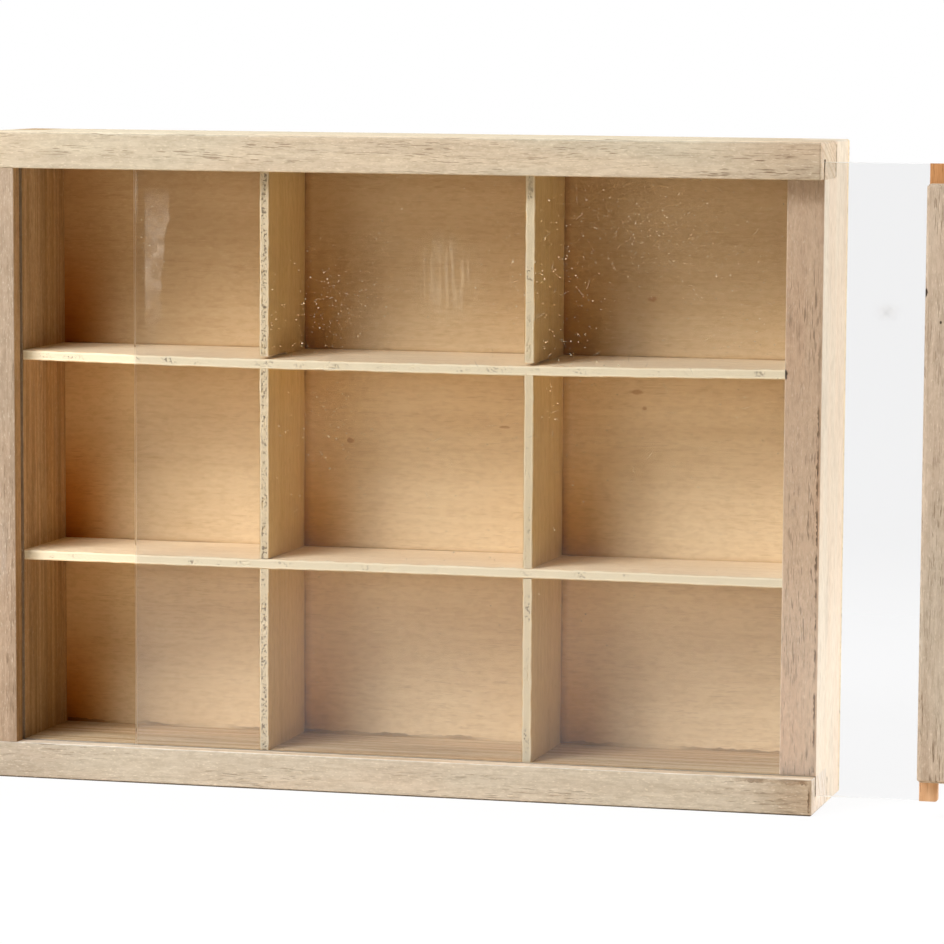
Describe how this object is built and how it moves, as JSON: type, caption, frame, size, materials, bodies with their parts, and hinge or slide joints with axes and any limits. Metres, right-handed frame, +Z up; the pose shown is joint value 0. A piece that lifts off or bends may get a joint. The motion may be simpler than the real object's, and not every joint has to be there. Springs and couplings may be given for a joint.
{
  "type": "compartment display case",
  "caption": "Wooden display case with plywood compartments and a clear front that slides out sideways on a wooden batten.",
  "frame": {"origin": "centre of the face that the case stands on", "axes": "+X to the right, the way the clear front slides out; +Y from the open front to the back; +Z up"},
  "size_m": [0.3044, 0.048, 0.2],
  "materials": {
    "board_wood": "planed and sanded pale softwood, bare",
    "plywood": "thin plywood with sawn edges, bare",
    "hardwood": "sanded orange-brown hardwood, bare",
    "clear_acrylic": "clear gloss acrylic sheet with sawn edges and fine scratches",
    "steel": "bright steel pins"
  },
  "bodies": {
    "case": {"top_rail": "board_wood", "bottom_rail": "board_wood", "left_side": "board_wood", "right_side": "board_wood", "back_panel": "plywood", "back_brads": "steel", "lower_shelf": "plywood", "upper_shelf": "plywood", "left_divider": "plywood", "right_divider": "plywood"},
    "sliding_front": {"clear_panel": "clear_acrylic", "guide_tongue": "hardwood", "end_batten": "board_wood"}
  },
  "joints": [
    {"name": "front_slide", "type": "slide", "parent": "case", "child": "sliding_front", "axis": [1, 0, 0], "range_m": [-0.0424, 0.22]}
  ]
}
